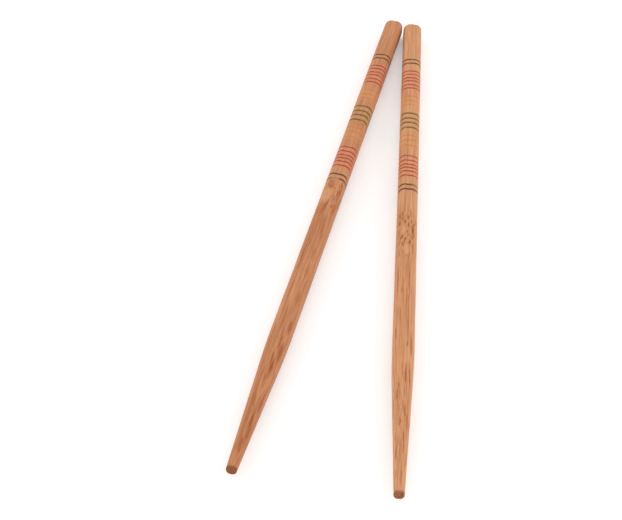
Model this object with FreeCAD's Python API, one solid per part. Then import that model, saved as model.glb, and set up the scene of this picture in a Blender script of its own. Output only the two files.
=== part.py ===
import FreeCAD, Part
import math
import os

from FreeCAD import Placement, Rotation, Vector

# Sizes of one stick, in millimetres
STICK_LENGTH = 240.0
SHAFT_ACROSS = 6.4
SHAFT_FLAT_WIDTH = 1.6
TAPER_LENGTH = 53.0
TIP_ACROSS = 3.0
TIP_FLAT_WIDTH = 0.3
SHOULDER_LENGTH = 14.0
SHOULDER_STEPS = 5
BUTT_RIM_RADIUS = 1.0
TIP_RIM_RADIUS = 0.2

# How the pair lies on the table, in degrees and millimetres
SPREAD_ANGLE = 9.1
BUTT_GAP = 0.45
RIGHT_STICK_DRAWN_BACK = 1.0

ALONG_STICK = Vector(0, 1, 0)
UP = Vector(0, 0, 1)

# Two places along a stick count as one within this distance
SAME_PLACE = 1e-4


def widening(along):
    """How far the section has grown at a distance from the tip: 0 at the tip, 1 past the shoulder.

    It grows evenly, and over the soft shoulder it grows less and less, until the shaft is straight."""
    left_to_grow = TAPER_LENGTH + SHOULDER_LENGTH / 2 - along
    if left_to_grow >= SHOULDER_LENGTH:
        return along / TAPER_LENGTH
    return 1 - left_to_grow ** 2 / (2 * SHOULDER_LENGTH * TAPER_LENGTH)


def outline(along):
    """The outline of the section at a distance from the tip: a square with round corners."""
    grown = widening(along)
    half = (TIP_ACROSS + grown * (SHAFT_ACROSS - TIP_ACROSS)) / 2
    flat = (TIP_FLAT_WIDTH + grown * (SHAFT_FLAT_WIDTH - TIP_FLAT_WIDTH)) / 2
    diagonal = flat + (half - flat) * math.sqrt(0.5)
    edges = []
    for quarter in range(4):
        turn = Rotation(ALONG_STICK, 90 * quarter)
        flat_start = turn.multVec(Vector(-flat, along, half))
        flat_end = turn.multVec(Vector(flat, along, half))
        corner_middle = turn.multVec(Vector(diagonal, along, diagonal))
        corner_end = turn.multVec(Vector(half, along, flat))
        edges.append(Part.LineSegment(flat_start, flat_end).toShape())
        edges.append(Part.Arc(flat_end, corner_middle, corner_end).toShape())
    return Part.Wire(edges)


def taper():
    """The thin end: from the nearly round tip it widens to the square shaft over a soft shoulder."""
    shoulder_start = TAPER_LENGTH - SHOULDER_LENGTH / 2
    step = SHOULDER_LENGTH / SHOULDER_STEPS
    outlines = [outline(0)]
    outlines += [outline(shoulder_start + step * count) for count in range(SHOULDER_STEPS + 1)]
    return Part.makeLoft(outlines, True, True)


def shaft():
    """The straight length with four flats and four round corners, up to the butt."""
    start = TAPER_LENGTH + SHOULDER_LENGTH / 2
    return Part.Face(outline(start)).extrude(ALONG_STICK * (STICK_LENGTH - start))


def rim(solid, along):
    """The edges round the end face that lies at a distance along the stick."""
    return [
        edge
        for edge in solid.Edges
        if all(abs(vertex.Point.y - along) < SAME_PLACE for vertex in edge.Vertexes)
    ]


def stick():
    """One whole chopstick along the Y axis, with the middle of its tip at the origin."""
    solid = taper().fuse(shaft()).Solids[0]
    solid = solid.makeFillet(BUTT_RIM_RADIUS, rim(solid, STICK_LENGTH)).Solids[0]
    return solid.makeFillet(TIP_RIM_RADIUS, rim(solid, 0)).Solids[0]


def laid_down(solid, side, drawn_back):
    """A stick on the table: side -1 is the left one and 1 the right one, each leaning out to its tip."""
    inner_flank_end = Vector(
        -side * SHAFT_ACROSS / 2, STICK_LENGTH - BUTT_RIM_RADIUS, -SHAFT_ACROSS / 2
    )
    resting_place = Vector(side * BUTT_GAP / 2, -drawn_back, 0)
    turned = Placement(resting_place, Rotation(UP, side * SPREAD_ANGLE / 2))
    laid = solid.copy()
    laid.Placement = turned * Placement(-inner_flank_end, Rotation())
    return laid


def pair():
    """Both sticks, with the middle of the space that they take up over the origin."""
    sticks = {
        "chopstick_left": laid_down(stick(), -1, 0),
        "chopstick_right": laid_down(stick(), 1, RIGHT_STICK_DRAWN_BACK),
    }
    middle = Part.makeCompound(list(sticks.values())).optimalBoundingBox(False).Center
    for solid in sticks.values():
        solid.translate(Vector(-middle.x, -middle.y, 0))
    return sticks


os.makedirs("parts", exist_ok=True)
for name, solid in pair().items():
    solid.exportStep("parts/" + name + ".step")
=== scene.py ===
import math

import bmesh
import bpy
from mathutils import Matrix, Quaternion, Vector


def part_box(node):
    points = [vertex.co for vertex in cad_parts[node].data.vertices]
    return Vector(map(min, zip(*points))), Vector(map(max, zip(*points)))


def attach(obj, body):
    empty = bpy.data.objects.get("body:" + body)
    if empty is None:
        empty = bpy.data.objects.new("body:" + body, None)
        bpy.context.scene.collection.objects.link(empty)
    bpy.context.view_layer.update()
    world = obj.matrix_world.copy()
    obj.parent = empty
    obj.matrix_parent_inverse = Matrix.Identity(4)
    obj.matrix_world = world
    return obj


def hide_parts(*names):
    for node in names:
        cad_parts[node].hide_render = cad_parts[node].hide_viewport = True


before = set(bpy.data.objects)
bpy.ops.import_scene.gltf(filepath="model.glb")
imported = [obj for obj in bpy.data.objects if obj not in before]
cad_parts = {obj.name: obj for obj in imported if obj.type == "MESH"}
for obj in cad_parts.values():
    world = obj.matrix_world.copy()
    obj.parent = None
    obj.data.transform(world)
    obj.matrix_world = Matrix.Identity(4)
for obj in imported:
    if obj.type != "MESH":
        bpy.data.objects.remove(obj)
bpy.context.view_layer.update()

bl_info = {
    "name": "Pair of bamboo chopsticks",
    "version": (1, 0, 0),
    "blender": (4, 5, 0),
    "location": "View3D > Sidebar > Chopsticks",
    "description": "Makes a pair of bamboo chopsticks with painted rings",
    "category": "Add Mesh",
}

MM = 0.001
ALONG = Vector((0, 1, 0))


def screen_colour(red, green, blue):
    """A colour as a screen shows it, 0 to 255, turned into the linear values that a shader takes."""
    return tuple(
        level / 12.92 if level <= 0.04045 else ((level + 0.055) / 1.055) ** 2.4
        for level in (red / 255, green / 255, blue / 255)
    )


# The sizes and colours that a user would change

def length_property(name, description, default):
    return bpy.props.FloatProperty(
        name=name, description=description, default=default, min=0, unit="LENGTH"
    )


def colour_property(name, description, default):
    return bpy.props.FloatVectorProperty(
        name=name, description=description, default=default, min=0, max=1, subtype="COLOR"
    )


class ShapeSettings(bpy.types.PropertyGroup):
    """The shape of one stick."""

    length: length_property("Length", "From the tip to the butt", 240 * MM)
    across: length_property(
        "Across", "Thickness of the square shaft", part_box("chopstick_left")[1].z
    )
    flat_width: length_property("Flat width", "Width of each flat of the shaft", 1.6 * MM)
    taper_length: length_property("Taper length", "From the tip to the shaft", 53 * MM)
    tip_across: length_property("Tip across", "Thickness at the tip", 3 * MM)
    shoulder_length: length_property(
        "Shoulder length", "Over which the taper runs into the shaft", 14 * MM
    )
    butt_rim: length_property("Butt rim", "Radius round the butt end", 1 * MM)
    tip_rim: length_property("Tip rim", "Radius round the tip end", 0.2 * MM)
    unevenness: length_property(
        "Unevenness", "How far the sanded surface dips below the true shape", 0.06 * MM
    )


class PlaceSettings(bpy.types.PropertyGroup):
    """How the pair lies."""

    lean: bpy.props.FloatProperty(
        name="Lean",
        description="Angle between a stick and the middle line of the pair",
        default=math.radians(4.55),
        subtype="ANGLE",
    )
    left_tip: bpy.props.FloatVectorProperty(
        name="Left tip",
        description="Where the middle of the left stick's tip lies",
        default=(-22.375 * MM, -119.159 * MM, 3.2 * MM),
        subtype="TRANSLATION",
        unit="LENGTH",
        precision=5,
    )
    right_tip: bpy.props.FloatVectorProperty(
        name="Right tip",
        description="Where the middle of the right stick's tip lies",
        default=(22.375 * MM, -120.159 * MM, 3.2 * MM),
        subtype="TRANSLATION",
        unit="LENGTH",
        precision=5,
    )


class ColourSettings(bpy.types.PropertyGroup):
    """The colours of the bamboo and of the painted rings."""

    left_wood: colour_property(
        "Left bamboo", "Main colour of the left stick", screen_colour(194, 132, 91)
    )
    right_wood: colour_property(
        "Right bamboo", "Main colour of the right stick", screen_colour(206, 146, 103)
    )
    grain: colour_property("Grain", "Colour of the fibre dashes", screen_colour(152, 70, 24))
    end_grain: colour_property(
        "End grain", "Colour of the cut ends", screen_colour(118, 52, 26)
    )
    black: colour_property("Black rings", "Paint of the black rings", screen_colour(102, 50, 2))
    red: colour_property("Red rings", "Paint of the red rings", screen_colour(158, 56, 28))
    yellow: colour_property(
        "Yellow rings", "Paint of the yellow rings", screen_colour(186, 116, 46)
    )
    green: colour_property(
        "Green rings", "Paint of the green rings", screen_colour(112, 70, 10)
    )
    ring_width: length_property("Ring width", "Width of one painted ring", 0.9 * MM)


# Shader maths

class Signal:
    """A number that runs through the nodes of a finish. Sums on it add Math nodes."""

    def __init__(self, finish, socket):
        self.finish = finish
        self.socket = socket

    def __add__(self, other):
        return self.finish.maths("ADD", self, other)

    __radd__ = __add__

    def __sub__(self, other):
        return self.finish.maths("SUBTRACT", self, other)

    def __rsub__(self, other):
        return self.finish.maths("SUBTRACT", other, self)

    def __mul__(self, other):
        return self.finish.maths("MULTIPLY", self, other)

    __rmul__ = __mul__

    def __abs__(self):
        return self.finish.maths("ABSOLUTE", self)

    def swing(self, reach):
        """A level from 0 to 1 as a change of up to half the reach, either way."""
        return (self - 0.5) * reach


class Finish:
    """A material or a world, built up from nodes."""

    # An oval's half width beside its planned width, and its half depth in millimetres, which takes it
    # right through a stick
    OVAL_HALF_WIDTH = 0.62
    OVAL_HALF_DEPTH = 1000

    # Where the soft edge of an oval starts and ends, beside its half sizes
    OVAL_EDGE = (1.5, 0.5)

    def __init__(self, owner):
        self.owner = owner
        owner.use_nodes = True
        self.tree = owner.node_tree
        self.tree.nodes.clear()

    def node(self, kind, settings, sockets):
        """Add a node: its settings first, then the values or links of its sockets."""
        made = self.tree.nodes.new("ShaderNode" + kind)
        for name, value in settings.items():
            setattr(made, name, value)
        for key, value in sockets.items():
            socket = made.inputs[key]
            if isinstance(value, Signal):
                value = value.socket
            if isinstance(value, bpy.types.NodeSocket):
                self.tree.links.new(value, socket)
            else:
                socket.default_value = value
        return made

    def maths(self, operation, *values):
        made = self.node("Math", {"operation": operation}, dict(enumerate(values)))
        return Signal(self, made.outputs[0])

    def vector(self, operation, *values):
        made = self.node("VectorMath", {"operation": operation}, dict(enumerate(values)))
        return made.outputs[0]

    def larger(self, *values):
        """The largest of the values."""
        found = values[0]
        for value in values[1:]:
            found = self.maths("MAXIMUM", found, value)
        return found

    def fade(self, value, start, end):
        """0 up to start and 1 from end on, with a soft step between. End may be below start."""
        made = self.node(
            "MapRange",
            {"interpolation_type": "SMOOTHSTEP"},
            {"Value": value, "From Min": start, "From Max": end},
        )
        return Signal(self, made.outputs[0])

    def between(self, value, low, high, soft):
        """1 between low and high, and 0 outside them."""
        return self.fade(value, low - soft, low + soft) * self.fade(value, high + soft, high - soft)

    def scaled(self, place, repeats):
        """The place at which a pattern is read that repeats so often across and along."""
        across, along = repeats
        return self.vector("MULTIPLY", place, (across, along, across))

    def noise(self, place, detail=2.0, roughness=0.5):
        inputs = {"Vector": place, "Scale": 1.0, "Detail": detail, "Roughness": roughness}
        return self.node("TexNoise", {}, inputs)

    def level(self, place, detail=2.0, roughness=0.5):
        """Noise as a number, mostly near a half."""
        return Signal(self, self.noise(place, detail, roughness).outputs["Fac"])

    def unrest(self, place):
        """A soft push in all directions, from minus a half to a half."""
        return self.vector("SUBTRACT", self.noise(place).outputs["Color"], (0.5,) * 3)

    def cells(self, place):
        """Scattered spots: how far the nearest one is, and its own chance value."""
        made = self.node("TexVoronoi", {}, {"Vector": place, "Scale": 1.0})
        chance = self.node("SeparateColor", {}, {"Color": made.outputs["Color"]})
        return Signal(self, made.outputs["Distance"]), Signal(self, chance.outputs["Red"])

    def oval(self, place, along, across, length, width, turn):
        """1 in the middle of a soft long oval and 0 outside it, at every depth."""
        inputs = {
            "Vector": place,
            "Location": (across, along, 0),
            "Rotation": (0, 0, -math.radians(turn)),
            "Scale": (width * self.OVAL_HALF_WIDTH, length / 2, self.OVAL_HALF_DEPTH),
        }
        from_middle = self.node("Mapping", {"vector_type": "TEXTURE"}, inputs).outputs[0]
        reach = self.node("VectorMath", {"operation": "LENGTH"}, {0: from_middle})
        return self.fade(Signal(self, reach.outputs["Value"]), *self.OVAL_EDGE)

    def ovals(self, place, plan):
        """The strongest oval of a plan at each point. Each one is compared as soon as it is made, so
        that the shader has to hold only a few values at once."""
        found = 0.0
        for *oval, strength in plan:
            found = self.maths("MAXIMUM", found, self.oval(place, *oval) * strength)
        return found

    def shown(self):
        """1 for the rays by which the camera sees a thing, straight, mirrored or through glass."""
        ray = self.node("LightPath", {}, {})
        kinds = ("Is Camera Ray", "Is Glossy Ray", "Is Transmission Ray")
        return self.larger(*[Signal(self, ray.outputs[kind]) for kind in kinds])

    def tint(self, under, over, share):
        """Lay one colour over another by a share."""
        made = self.node("Mix", {"data_type": "RGBA"}, {0: share, 6: under, 7: over})
        return made.outputs[2]


# The painted rings: their places in millimetres from the tip, how wide they are beside the common
# width, and how strongly the paint covers
RING_GROUPS = (
    ("black", (136.7, 139.2), 1.0, 0.95),
    ("red", (144.3, 146.7, 148.7, 150.5, 152.8, 155.4), 0.85, 0.9),
    ("yellow", (161.5, 164.7, 167.4), 0.9, 0.45),
    ("green", (172.2, 175.2, 177.8, 180.8), 1.0, 0.9),
    ("yellow", (186.2, 188.6, 191.5), 0.9, 0.45),
    ("red", (196.7, 198.8, 201.3, 203.2, 205.5, 207.6), 0.85, 0.9),
    ("black", (212.8, 215.2), 1.0, 0.95),
)

# The thin film of each paint that is left between its rings, and how much of it
WASHES = {
    "black": (screen_colour(196, 148, 112), 0.35),
    "red": (screen_colour(220, 134, 104), 0.4),
    "yellow": (screen_colour(222, 152, 94), 0.3),
    "green": (screen_colour(186, 150, 98), 0.45),
}

# The grain of each stick, in millimetres: where its joint lies, how much paler the wood is past it and
# darker towards the tip, and the number that its chance patterns start from. Then come ovals: calm pale
# wood and worn paint, which go right through the stick, and marks of dark fibre on its upper side. Each
# oval has its place along from the tip, its place across from a line that lies aside from the middle,
# its length, its width, its turn in degrees and its strength.
GRAIN = {
    "left": {
        "joint": 127,
        "paler": 0.1,
        "darker": 0.06,
        "seed": 4.0,
        "aside": 0.65,
        "calm": ((127.0, -1.7, 7.5, 2.6, 0, 0.9), (120.0, 0.2, 9.0, 0.9, 4, 0.4)),
        "worn": ((136.7, -1.0, 2.0, 2.2, 0, 0.7),),
        "marks": (
            (8.4, -0.4, 7.5, 0.8, -3, 0.75),
            (10.2, -0.4, 3.5, 0.5, 0, 0.9),
            (7.5, -1.3, 3.0, 0.4, 0, 0.45),
            (13.5, 0.55, 6.0, 0.4, 4, 0.6),
            (18.5, 0.3, 6.0, 0.5, 0, 0.9),
            (20.5, -0.9, 5.0, 0.4, 0, 0.6),
            (26.5, -0.85, 5.0, 0.4, 0, 0.55),
            (26.5, 1.2, 9.0, 0.4, 2, 0.8),
            (28.0, -1.4, 6.0, 0.3, 2, 0.35),
            (34.5, -0.3, 7.0, 0.35, -2, 0.6),
            (36.0, 2.2, 6.0, 0.35, 0, 0.4),
            (40.0, -1.4, 8.0, 0.35, 1, 0.5),
            (38.2, 0.5, 4.0, 0.4, 0, 0.6),
            (41.6, 0.5, 6.0, 0.65, 0, 1.0),
            (45.0, -0.15, 6.0, 0.4, -2, 0.75),
            (48.5, 1.5, 8.0, 0.8, 0, 0.75),
            (51.0, 0.6, 3.5, 0.5, 0, 0.75),
            (53.6, 0.6, 3.0, 0.4, 0, 0.9),
            (52.0, -1.0, 6.0, 0.3, 0, 0.4),
            (55.0, -1.6, 6.0, 0.35, 4, 0.45),
            (60.0, 1.7, 6.0, 0.45, 0, 0.85),
            (62.0, -0.8, 13.0, 0.35, 0, 0.65),
            (68.0, -1.15, 8.0, 0.3, 0, 0.35),
            (73.5, 0.9, 6.0, 1.1, 0, 0.4),
            (75.0, -1.9, 30.0, 0.35, 0, 0.65),
            (87.0, 0.9, 6.0, 1.0, 0, 0.4),
            (93.0, -2.1, 14.0, 0.35, 0, 0.65),
            (96.0, 1.0, 6.0, 0.8, 0, 0.35),
            (104.0, -2.1, 18.0, 0.3, 0, 0.6),
            (105.5, -1.35, 21.0, 0.35, 1, 0.6),
            (111.0, 0.75, 12.0, 0.7, 0, 0.5),
            (116.3, -1.55, 6.0, 0.3, 8, 0.65),
            (118.5, -1.9, 7.0, 0.3, 10, 0.75),
            (119.7, -2.3, 7.0, 0.3, 10, 0.7),
            (121.5, -0.8, 8.5, 0.3, 6, 0.9),
            (121.8, -2.6, 5.0, 0.3, 8, 0.65),
            (119.4, 1.9, 1.8, 0.3, 0, 0.45),
            (121.4, 0.9, 2.2, 0.35, 0, 0.75),
            (122.0, 1.55, 2.2, 0.3, 5, 0.6),
            (122.0, 2.15, 3.0, 0.3, 0, 0.45),
            (125.5, 2.6, 7.0, 0.35, 0, 0.6),
            (126.0, 1.7, 1.8, 0.35, 0, 0.6),
            (126.8, -0.1, 1.6, 0.35, 35, 0.55),
            (129.0, 1.35, 3.0, 0.4, -6, 0.75),
            (130.2, 1.9, 3.0, 0.4, -6, 0.7),
            (130.9, 0.1, 0.8, 0.6, 0, 0.8),
            (131.8, -1.5, 2.0, 0.3, -6, 0.95),
            (132.4, -0.8, 2.6, 0.25, -6, 0.7),
            (132.4, 1.3, 2.6, 0.35, -6, 0.65),
            (133.0, -2.3, 2.6, 0.3, 0, 0.7),
            (133.4, -1.6, 4.4, 0.25, 8, 0.75),
            (133.6, -1.0, 4.0, 0.25, 8, 0.6),
            (134.3, 1.7, 2.4, 0.35, -6, 0.55),
            (135.4, -2.1, 1.6, 0.45, 0, 0.8),
        ),
    },
    "right": {
        "joint": 114,
        "paler": 0.04,
        "darker": 0.0,
        "seed": 31.0,
        "aside": -0.2,
        "calm": (
            (104.6, 0.1, 5.0, 1.6, 0, 0.4),
            (114.6, -1.0, 3.0, 1.0, 0, 0.4),
            (131.0, 0.2, 9.0, 5.0, 0, 0.25),
        ),
        "worn": ((139.0, 2.3, 3.0, 1.5, 0, 0.3),),
        "marks": (
            (5.0, 0.45, 7.0, 0.35, 0, 0.65),
            (6.5, -1.0, 3.0, 0.3, 0, 0.45),
            (14.5, -1.1, 4.5, 0.35, 1, 0.6),
            (16.0, -0.1, 7.0, 0.3, 1, 0.5),
            (19.0, 0.85, 9.0, 0.4, -2, 0.8),
            (26.7, -0.25, 4.5, 0.4, 0, 0.85),
            (27.0, 1.6, 6.0, 0.5, -1, 0.7),
            (26.0, 2.2, 4.0, 0.3, 0, 0.4),
            (31.0, 1.0, 5.5, 0.4, 0, 0.8),
            (33.0, -2.2, 7.0, 0.3, 0, 0.4),
            (38.0, -1.3, 4.5, 0.35, 0, 0.65),
            (41.5, -1.0, 2.5, 0.35, 0, 0.75),
            (46.0, 2.0, 10.0, 0.45, -2, 0.7),
            (47.0, 0.9, 8.0, 0.5, 0, 0.9),
            (49.5, 0.0, 4.0, 0.3, 0, 0.55),
            (54.0, -0.05, 10.0, 0.3, 1, 0.5),
            (59.5, 1.2, 2.6, 0.4, 0, 0.85),
            (59.5, 2.3, 9.0, 0.5, -1, 0.75),
            (64.5, -2.15, 5.5, 0.35, -1, 0.75),
            (72.0, -1.1, 9.0, 0.25, 0, 0.5),
            (80.0, 1.25, 34.0, 0.35, 0.3, 0.65),
            (80.0, 0.55, 9.0, 0.3, 0, 0.4),
            (84.0, -0.4, 14.0, 0.3, 0, 0.5),
            (84.5, -1.0, 3.0, 0.35, 0, 0.65),
            (90.0, -2.1, 16.0, 0.35, 0, 0.55),
            (93.0, 0.1, 8.0, 0.25, 0, 0.4),
            (101.6, 0.3, 1.6, 0.3, 10, 0.5),
            (101.9, 1.15, 1.8, 0.3, 10, 0.45),
            (102.5, -2.1, 3.5, 0.35, 2, 0.6),
            (103.0, -1.0, 1.8, 0.3, 0, 0.5),
            (105.0, 2.0, 5.0, 0.4, 3, 0.5),
            (106.9, 1.9, 1.6, 0.3, 0, 0.6),
            (107.3, -1.15, 1.6, 0.4, 0, 0.75),
            (107.8, -2.0, 3.0, 0.35, 12, 0.7),
            (108.7, 1.1, 1.9, 0.45, 10, 0.95),
            (109.6, -0.4, 2.0, 0.45, 10, 1.0),
            (110.9, -1.45, 2.4, 0.45, 22, 1.0),
            (110.9, 1.5, 3.2, 0.35, -22, 0.9),
            (113.5, -2.3, 4.0, 0.35, 4, 0.6),
            (114.0, 0.3, 1.6, 0.35, 5, 0.8),
            (112.4, 2.15, 2.2, 0.35, -14, 0.8),
            (114.8, 1.9, 5.0, 0.55, 0, 1.0),
            (117.5, 2.1, 2.4, 0.35, 14, 0.9),
            (117.2, 0.6, 2.6, 0.35, -5, 0.95),
            (118.2, -2.15, 2.6, 0.4, 0, 0.85),
            (119.0, -0.5, 2.2, 0.4, 0, 1.0),
            (119.4, 1.5, 2.6, 0.35, 0, 0.85),
            (119.5, 2.6, 3.0, 0.35, 0, 0.6),
            (120.6, -1.2, 2.2, 0.3, 15, 0.65),
            (120.8, 0.5, 2.2, 0.35, 10, 0.9),
            (121.7, 0.3, 1.6, 0.3, 0, 0.7),
            (121.8, -2.15, 3.0, 0.4, 0, 0.7),
            (123.0, 1.2, 4.0, 0.35, 0, 0.7),
            (123.3, -1.4, 2.2, 0.35, 0, 0.7),
            (124.2, 1.15, 2.6, 0.3, 0, 0.5),
            (130.0, -0.75, 14.0, 0.25, 0, 0.45),
            (132.0, 1.65, 14.0, 0.25, 0, 0.5),
            (151.0, 1.35, 14.0, 0.25, 0, 0.4),
            (155.0, -1.2, 26.0, 0.25, 0, 0.45),
            (158.0, -0.4, 32.0, 0.25, 0, 0.5),
        ),
    },
}

# How often each pattern repeats in a millimetre, across and along the stick
DRIFT = (0.12, 0.018)
SWIRL = (0.5, 0.2)
BROAD_TONE = (0.4, 0.03)
STREAKS = (1.5, 0.035)
FIBRES = (5.0, 0.08)
LONG_LINES = (0.5, 0.006)
DASHES = (0.95, 0.12)
SPECKS = (1.3, 0.45)
MARK_EDGES = (1.6, 0.5)
RING_WAVES = (0.3, 0.02)
PAINT_WEAR = (0.9, 0.5)
PORES = (1.9, 0.0)

# How far the patterns push other things about, in millimetres
DRIFT_REACH = 2.4
SWIRL_REACH = 2.2
MARK_REACH = (0.5, 2.4, 0)
RING_FIBRE_REACH = 0.6
RING_WAVE_REACH = 0.8
TIP_FRAY_REACH = 1.6

# Where soft steps start and end, in millimetres over the middle of the stick
UPPER_SIDE = (0.0, 0.8)

# The same, away from the joint and beside it
NEAR_JOINT = (13, 5)
PAST_JOINT = (-4, 6)

# The same, from the tip, and for the last one from the butt
TOWARDS_TIP = (55, 35)
DASHED_END = (75, 50)
TIP_FACE = (0.7, 0.1)
BUTT_FACE = (-0.4, -0.1)

# How far a film reaches past its outer rings, and half the soft edges of a film and of a ring, in
# millimetres
WASH_MARGIN = 1.0
WASH_EDGE = 1.4
RING_EDGE = 0.2

# At which levels of its pattern each kind of mark starts and is full
LINE_EDGE = (0.16, 0.0)
LINE_STREAKS = (0.42, 0.62)
DASH_EDGE = (0.4, 0.14)
DASH_CHANCE = (0.4, 0.7)
SPECK_EDGE = (0.42, 0.18)
SPECK_CHANCE = (0.35, 0.5)
WEAR_LEVELS = (0.3, 0.5)
PORE_EDGE = (0.4, 0.2)

# How many long lines there are between the lowest and the highest level of their pattern
LINE_COUNT = 10

# How much each pattern swings the tone of the wood, and between which tones it goes from dark to pale
BROAD_SWING = 0.6
STREAK_SWING = 1.6
FIBRE_SWING = 1.1
TONES = (-0.38, 0.38)

# The wood's colour where it is dark, pale and calm, beside its main colour, channel by channel
DARK_WOOD = (0.8, 0.7, 0.62)
PALE_WOOD = (1.14, 1.2, 1.24)
CALM_WOOD = (1.25, 1.4, 1.5)
CALM_STRENGTH = 0.9

# How strong each kind of mark is, and all of them together along the stick and more by the joint
DASH_STRENGTH = 0.25
DASHED_END_STRENGTH = 0.5
SPECK_STRENGTH = 0.8
LINE_STRENGTH = 0.4
TOP_FADING = 0.5
GRAIN_STRENGTH = 0.74
GRAIN_STRENGTH_BY_JOINT = 0.14

# How much is left of the paint in its thin places, and of a cut end's stain between its pores
THIN_PAINT = 0.68
END_STAIN = 0.55

# Gloss and relief
ROUGHNESS = 0.5
MARK_ROUGHNESS = 0.15
FIBRE_ROUGHNESS = 0.2
SPECULAR = 0.15
TONE_RELIEF = 0.6
MARK_RELIEF = 0.5
BUMP_STRENGTH = 0.35
BUMP_HEIGHT = 0.06 * MM


def opaque(colour):
    return (*colour, 1.0)


def shade_of(colour, factors):
    """A colour made lighter or darker, channel by channel."""
    return opaque(min(1.0, level * factor) for level, factor in zip(colour, factors))


def laid_along(finish, tip, lean):
    """The place of each point of a stick, in millimetres across and along from the middle of its tip."""
    turn = Matrix.Rotation(lean, 3, "Z")
    inputs = {
        "Vector": finish.node("TexCoord", {}, {}).outputs["Object"],
        "Location": -(turn @ Vector(tip) / MM),
        "Rotation": (0, 0, lean),
        "Scale": (1 / MM,) * 3,
    }
    return finish.node("Mapping", {"vector_type": "POINT"}, inputs).outputs[0]


def painted(finish, colour, along, ragged, cover, colours):
    """Lay the film and the rings of each paint over the wood. Ragged gives the rings uneven edges."""
    half = colours.ring_width / MM / 2
    for kind, places, width, strength in RING_GROUPS:
        film, film_strength = WASHES[kind]
        wash = finish.between(along, places[0] - WASH_MARGIN, places[-1] + WASH_MARGIN, WASH_EDGE)
        colour = finish.tint(colour, opaque(film), wash * film_strength)
        edge = (half * width + RING_EDGE, half * width - RING_EDGE)
        rings = finish.larger(*[finish.fade(abs(ragged - place), *edge) for place in places])
        colour = finish.tint(colour, opaque(getattr(colours, kind)), rings * cover * strength)
    return colour


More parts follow.
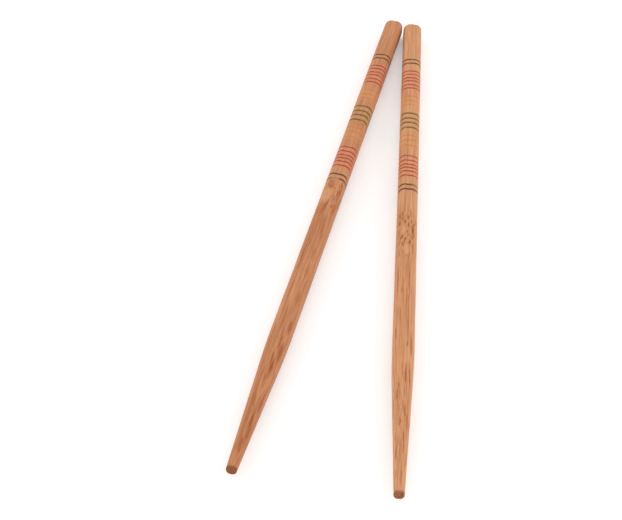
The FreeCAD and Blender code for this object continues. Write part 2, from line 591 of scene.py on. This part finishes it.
def bamboo(name, wood, colours, length, tip, lean, grain):
    """The finish of one stick, worked out in millimetres across and along it."""
    finish = Finish(bpy.data.materials.new(name))
    placed = laid_along(finish, tip, lean)
    parts = finish.node("SeparateXYZ", {}, {0: placed})
    along = Signal(finish, parts.outputs[1])
    height = Signal(finish, parts.outputs[2])
    on_top = finish.fade(height, *UPPER_SIDE)
    seeded = finish.vector("ADD", placed, (grain["seed"], 0, grain["seed"]))
    plan_place = finish.vector("ADD", placed, (-grain["aside"], 0, 0))

    # Fibres wander a little, and swirl by the joint
    joint = grain["joint"]
    by_joint = finish.fade(abs(along - joint), *NEAR_JOINT)
    drift = finish.unrest(finish.scaled(seeded, DRIFT))
    swirl = finish.unrest(finish.scaled(seeded, SWIRL))
    swirl = finish.node("VectorMath", {"operation": "SCALE"}, {0: swirl, "Scale": by_joint})
    wander = finish.vector(
        "ADD",
        finish.vector("MULTIPLY", drift, (DRIFT_REACH, 0, DRIFT_REACH)),
        finish.vector("MULTIPLY", swirl.outputs[0], (SWIRL_REACH, 0, SWIRL_REACH)),
    )
    fibre_place = finish.vector("ADD", seeded, wander)

    # Broad tone, streaks, fine fibres and long lines, a little paler past the joint
    broad = finish.level(finish.scaled(fibre_place, BROAD_TONE))
    streaks = finish.level(finish.scaled(fibre_place, STREAKS), detail=3.0, roughness=0.6)
    fibres = finish.level(finish.scaled(fibre_place, FIBRES), roughness=0.6)
    contours = finish.level(finish.scaled(fibre_place, LONG_LINES), detail=1.0) * LINE_COUNT
    from_line = finish.maths("PINGPONG", contours, 0.5)
    lines = finish.fade(from_line, *LINE_EDGE)
    lines = lines * finish.fade(streaks, *LINE_STREAKS)
    calm = finish.ovals(plan_place, grain["calm"])
    past_joint = finish.fade(along, joint + PAST_JOINT[0], joint + PAST_JOINT[1])
    tone = broad.swing(BROAD_SWING) + streaks.swing(STREAK_SWING) + fibres.swing(FIBRE_SWING)
    tone = tone + past_joint * grain["paler"] - finish.fade(along, *TOWARDS_TIP) * grain["darker"]

    # Short dark dashes where bundles of fibres come to the surface, and specks round the joint. Both
    # are fainter on the upper side, where the planned marks stand out
    fainter_on_top = 1 - on_top * TOP_FADING
    distance, chance = finish.cells(finish.scaled(fibre_place, DASHES))
    dashes = finish.fade(distance, *DASH_EDGE) * finish.fade(chance, *DASH_CHANCE)
    dashed_end = finish.fade(along, *DASHED_END)
    dashes = dashes * (DASH_STRENGTH + DASHED_END_STRENGTH * dashed_end) * fainter_on_top
    distance, chance = finish.cells(finish.scaled(fibre_place, SPECKS))
    specks = finish.fade(distance, *SPECK_EDGE) * finish.fade(chance, *SPECK_CHANCE) * by_joint
    specks = specks * fainter_on_top * (1 - calm)

    # The marks that stand out on the upper side, with rough edges
    rough = finish.unrest(finish.scaled(placed, MARK_EDGES))
    rough_place = finish.vector("ADD", plan_place, finish.vector("MULTIPLY", rough, MARK_REACH))
    top_marks = finish.ovals(rough_place, grain["marks"]) * on_top

    # The bare wood
    colour = finish.tint(
        shade_of(wood, DARK_WOOD), shade_of(wood, PALE_WOOD), finish.fade(tone, *TONES)
    )
    colour = finish.tint(colour, shade_of(wood, CALM_WOOD), calm * CALM_STRENGTH)

    # The paint, uneven along the edges of its rings and worn in places
    waves = finish.level(finish.scaled(seeded, RING_WAVES))
    ragged = along + fibres.swing(RING_FIBRE_REACH) + waves.swing(RING_WAVE_REACH)
    wear = finish.level(finish.scaled(seeded, PAINT_WEAR), detail=3.0)
    whole = finish.fade(wear, *WEAR_LEVELS)
    cover = THIN_PAINT + (1 - THIN_PAINT) * whole
    cover = cover * (1 - finish.ovals(plan_place, grain["worn"]))
    colour = painted(finish, colour, along, ragged, cover, colours)

    # The grain shows through the paint, most by the joint
    marks = finish.larger(dashes, specks * SPECK_STRENGTH, lines * LINE_STRENGTH, top_marks)
    strength = GRAIN_STRENGTH + GRAIN_STRENGTH_BY_JOINT * by_joint
    colour = finish.tint(colour, opaque(colours.grain), marks * strength)

    # Cut ends, with their pores
    butt = length / MM
    frayed = along - fibres.swing(TIP_FRAY_REACH)
    ends = finish.larger(
        finish.fade(frayed, *TIP_FACE), finish.fade(along, butt + BUTT_FACE[0], butt + BUTT_FACE[1])
    )
    distance, chance = finish.cells(finish.scaled(seeded, PORES))
    pores = finish.fade(distance, *PORE_EDGE)
    stain = ends * (END_STAIN + (1 - END_STAIN) * pores)
    colour = finish.tint(colour, opaque(colours.end_grain), stain)

    relief = tone * TONE_RELIEF - finish.larger(dashes, specks) * MARK_RELIEF
    bump = finish.node(
        "Bump", {}, {"Strength": BUMP_STRENGTH, "Distance": BUMP_HEIGHT, "Height": relief}
    )
    surface = finish.node(
        "BsdfPrincipled",
        {},
        {
            "Base Color": colour,
            "Roughness": ROUGHNESS + marks * MARK_ROUGHNESS + fibres.swing(FIBRE_ROUGHNESS),
            "Specular IOR Level": SPECULAR,
            "Normal": bump.outputs[0],
        },
    )
    finish.node("OutputMaterial", {}, {"Surface": surface.outputs[0]})
    return finish.owner


# Modelling by hand

# Two places along a stick count as one within this distance
SAME_PLACE = 0.001 * MM

# How finely a stick is modelled
CORNER_SEGMENTS = 10
SHOULDER_SECTIONS = 10
BUTT_RIM_SEGMENTS = 6
TIP_RIM_SEGMENTS = 3
SHAFT_CUTS = 120
TAPER_CUTS = 28

# Only the lengthwise edges of the shaft are longer than the first of these. Once they are cut up, only
# those of the straight taper are longer than the second
SHAFT_EDGE = 100 * MM
TAPER_EDGE = 30 * MM

# How far the section at the tip is drawn towards a circle
TIP_ROUNDNESS = 0.6

# The size of the dips in the sanded surface
DIP_SIZE = 9 * MM

# Faces that meet at less than this angle are shaded as one
SMOOTH_ANGLE = math.radians(35)


def choose(piece, kind, wanted):
    """Select only those vertices, edges or faces for which wanted(element) holds."""
    bpy.ops.mesh.select_mode(type={"verts": "VERT", "edges": "EDGE", "faces": "FACE"}[kind])
    bpy.ops.mesh.select_all(action="DESELECT")
    shape = bmesh.from_edit_mesh(piece.data)
    for element in getattr(shape, kind):
        element.select_set(wanted(element))
    shape.select_flush_mode()
    bmesh.update_edit_mesh(piece.data)


def is_lengthwise(edge):
    """Whether an edge runs along the stick, and not round it."""
    first, second = (vertex.co for vertex in edge.verts)
    return abs(first.y - second.y) > 0.5 * edge.calc_length()


def is_near(vertex, along):
    return abs(vertex.co.y - along) < SAME_PLACE


def round_edges(piece, wanted, radius, segments):
    choose(piece, "edges", wanted)
    bpy.ops.mesh.bevel(offset=radius, segments=segments, profile=0.5, affect="EDGES")


def round_rim(piece, along, radius, segments):
    """Round the edges of the end face that lies at a distance along the stick."""
    round_edges(
        piece, lambda edge: all(is_near(vertex, along) for vertex in edge.verts), radius, segments
    )


def divide(piece, longest, cuts):
    """Cut up the lengthwise edges that are longer than longest."""
    choose(piece, "edges", lambda edge: is_lengthwise(edge) and edge.calc_length() > longest)
    bpy.ops.mesh.subdivide(number_cuts=cuts)


def widening(shape, along):
    """How far the section has grown at a distance from the tip: 0 at the tip, 1 past the shoulder."""
    left_to_grow = shape.taper_length + shape.shoulder_length / 2 - along
    if left_to_grow >= shape.shoulder_length:
        return along / shape.taper_length
    return 1 - left_to_grow**2 / (2 * shape.shoulder_length * shape.taper_length)


def half_width(shape, along):
    grown = widening(shape, along)
    return (shape.tip_across + grown * (shape.across - shape.tip_across)) / 2


def taper(piece, shape):
    """Cut the bar into sections at its thin end, and draw each one in, rounder towards the tip."""
    start = shape.taper_length - shape.shoulder_length / 2
    end = shape.taper_length + shape.shoulder_length / 2
    sections = [
        start + (end - start) * count / SHOULDER_SECTIONS for count in range(SHOULDER_SECTIONS)
    ]
    for along in sections + [end]:
        bpy.ops.mesh.select_all(action="SELECT")
        bpy.ops.mesh.bisect(plane_co=(0, along, 0), plane_no=ALONG)
    for along in [0] + sections:
        choose(piece, "verts", lambda vertex: is_near(vertex, along))
        bpy.ops.transform.tosphere(value=TIP_ROUNDNESS * (1 - widening(shape, along)))
        chosen = [v.co.x for v in bmesh.from_edit_mesh(piece.data).verts if v.select]
        factor = half_width(shape, along) / max(chosen)
        bpy.ops.transform.resize(value=(factor, 1, factor), center_override=(0, along, 0))


def sand(piece, shape):
    """Make the surface a little uneven, as sanding leaves it. It dips, and never stands proud."""
    clouds = bpy.data.textures.new(piece.name + "_unevenness", "CLOUDS")
    clouds.noise_scale = DIP_SIZE
    uneven = piece.modifiers.new("unevenness", "DISPLACE")
    uneven.texture = clouds
    uneven.texture_coords = "LOCAL"
    uneven.mid_level = 1.0
    uneven.strength = shape.unevenness
    bpy.ops.object.modifier_apply(modifier=uneven.name)


def stick(name, shape, tip, lean):
    """One chopstick: a bar with rounded edges, tapered section by section, with its rims rounded."""
    bpy.ops.object.select_all(action="DESELECT")
    bpy.ops.mesh.primitive_cube_add(size=1, location=(0, 0, 0))
    piece = bpy.context.object
    piece.name = name
    piece.data.name = name
    bpy.ops.object.mode_set(mode="EDIT")
    bpy.ops.transform.resize(value=(shape.across, shape.length, shape.across))
    bpy.ops.transform.translate(value=(0, shape.length / 2, 0))

    corner_radius = (shape.across - shape.flat_width) / 2
    round_edges(piece, is_lengthwise, corner_radius, CORNER_SEGMENTS)
    taper(piece, shape)
    round_rim(piece, shape.length, shape.butt_rim, BUTT_RIM_SEGMENTS)
    round_rim(piece, 0, shape.tip_rim, TIP_RIM_SEGMENTS)
    divide(piece, SHAFT_EDGE, SHAFT_CUTS)
    divide(piece, TAPER_EDGE, TAPER_CUTS)
    bpy.ops.object.mode_set(mode="OBJECT")

    piece.rotation_euler.z = -lean
    piece.location = tip
    bpy.ops.object.transform_apply(location=True, rotation=True, scale=True)
    sand(piece, shape)
    bpy.ops.object.shade_smooth_by_angle(angle=SMOOTH_ANGLE)
    return piece


class CHOPSTICKS_OT_pair(bpy.types.Operator):
    """Make the two bamboo chopsticks"""

    bl_idname = "chopsticks.pair"
    bl_label = "Make the pair"

    def execute(self, context):
        scene = context.scene
        shape, place, colours = scene.stick_shape, scene.stick_place, scene.stick_colours
        plans = (
            ("left", place.left_tip, place.lean, colours.left_wood),
            ("right", place.right_tip, -place.lean, colours.right_wood),
        )
        for side, tip, lean, wood in plans:
            piece = stick("stick_" + side, shape, tip, lean)
            name = "bamboo_" + side
            finish = bamboo(name, wood, colours, shape.length, tip, lean, GRAIN[side])
            piece.data.materials.append(finish)
            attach(piece, "root")
            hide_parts("chopstick_" + side)
        return {"FINISHED"}


# The stage: sizes and places in metres, tones as linear values, and lamps in watts
WHITE = (1, 1, 1, 1)
FLOOR_SIZE = 8
FLOOR_TONE = (0.85, 0.85, 0.85, 1)
FLOOR_GLOW = 0.3
SKY_STRENGTH = 0.8
BACKDROP_STRENGTH = 1.0
SOFTBOX_PLACES = {
    "softbox_left": Vector((-900, -100, 420)) * MM,
    "softbox_right": Vector((900, -100, 420)) * MM,
}
SOFTBOX_SIZE = 600 * MM
SOFTBOX_POWER = 3.0

CAMERA_PLACE = Vector((31.8, -515.3, 372.7)) * MM
CAMERA_TARGET = Vector((-14, -23, 3.2)) * MM
CAMERA_ROLL = math.radians(3.9)
NEAREST_SHOWN = 10 * MM

# The width of the image and the focal length of the lens in pixels, and the sensor's width in
# millimetres
IMAGE_WIDTH = 622
FOCAL_LENGTH = 2050
SENSOR_WIDTH = 36


class CHOPSTICKS_OT_stage(bpy.types.Operator):
    """Set up the floor, the light and the camera"""

    bl_idname = "chopsticks.stage"
    bl_label = "Make the stage"

    def execute(self, context):
        self.floor()
        self.light(context)
        self.camera(context)
        context.scene.view_settings.view_transform = "Standard"
        return {"FINISHED"}

    def floor(self):
        bpy.ops.object.select_all(action="DESELECT")
        bpy.ops.mesh.primitive_plane_add(size=FLOOR_SIZE, location=(0, 0, 0))
        floor = bpy.context.object
        floor.name = "floor"
        finish = Finish(bpy.data.materials.new("floor_white"))
        shown = finish.shown()
        paper = finish.node("BsdfDiffuse", {}, {"Color": FLOOR_TONE})
        glow = finish.node("Emission", {}, {"Color": WHITE, "Strength": shown * FLOOR_GLOW})
        both = finish.node("AddShader", {}, {0: paper.outputs[0], 1: glow.outputs[0]})
        finish.node("OutputMaterial", {}, {"Surface": both.outputs[0]})
        floor.data.materials.append(finish.owner)

    def light(self, context):
        studio = Finish(bpy.data.worlds.new("studio"))
        context.scene.world = studio.owner
        sky = studio.node("Background", {}, {"Color": WHITE, "Strength": SKY_STRENGTH})
        backdrop = studio.node("Background", {}, {"Color": WHITE, "Strength": BACKDROP_STRENGTH})
        both = studio.node(
            "MixShader", {}, {0: studio.shown(), 1: sky.outputs[0], 2: backdrop.outputs[0]}
        )
        studio.node("OutputWorld", {}, {"Surface": both.outputs[0]})

        # A softbox low on each side, so that the flanks are as light as the top
        for name, place in SOFTBOX_PLACES.items():
            lamp = bpy.data.lights.new(name, "AREA")
            lamp.size = SOFTBOX_SIZE
            lamp.energy = SOFTBOX_POWER
            softbox = bpy.data.objects.new(name, lamp)
            softbox.location = place
            softbox.rotation_euler = place.to_track_quat("Z", "Y").to_euler()
            context.scene.collection.objects.link(softbox)

    def camera(self, context):
        lens = bpy.data.cameras.new("camera")
        lens.sensor_width = SENSOR_WIDTH
        lens.lens = FOCAL_LENGTH / IMAGE_WIDTH * SENSOR_WIDTH
        lens.clip_start = NEAREST_SHOWN
        view = bpy.data.objects.new("camera", lens)
        aim = (CAMERA_PLACE - CAMERA_TARGET).to_track_quat("Z", "Y")
        view.rotation_mode = "QUATERNION"
        view.rotation_quaternion = aim @ Quaternion((0, 0, 1), CAMERA_ROLL)
        view.location = CAMERA_PLACE
        context.scene.collection.objects.link(view)
        context.scene.camera = view


class CHOPSTICKS_PT_panel(bpy.types.Panel):
    """Lists the settings and the steps"""

    bl_label = "Chopsticks"
    bl_idname = "CHOPSTICKS_PT_panel"
    bl_space_type = "VIEW_3D"
    bl_region_type = "UI"
    bl_category = "Chopsticks"

    def draw(self, context):
        for group in ("stick_shape", "stick_place", "stick_colours"):
            settings = getattr(context.scene, group)
            box = self.layout.box()
            for name in settings.__annotations__:
                box.prop(settings, name)
        for operator in (CHOPSTICKS_OT_stage, CHOPSTICKS_OT_pair):
            self.layout.operator(operator.bl_idname)


SETTINGS = {
    "stick_shape": ShapeSettings,
    "stick_place": PlaceSettings,
    "stick_colours": ColourSettings,
}
CLASSES = (*SETTINGS.values(), CHOPSTICKS_OT_stage, CHOPSTICKS_OT_pair, CHOPSTICKS_PT_panel)


def register():
    for made in CLASSES:
        bpy.utils.register_class(made)
    for name, group in SETTINGS.items():
        setattr(bpy.types.Scene, name, bpy.props.PointerProperty(type=group))


def unregister():
    for name in SETTINGS:
        delattr(bpy.types.Scene, name)
    for made in reversed(CLASSES):
        bpy.utils.unregister_class(made)


def main():
    register()
    bpy.ops.chopsticks.stage()
    bpy.ops.chopsticks.pair()


if __name__ == "__main__":
    main()
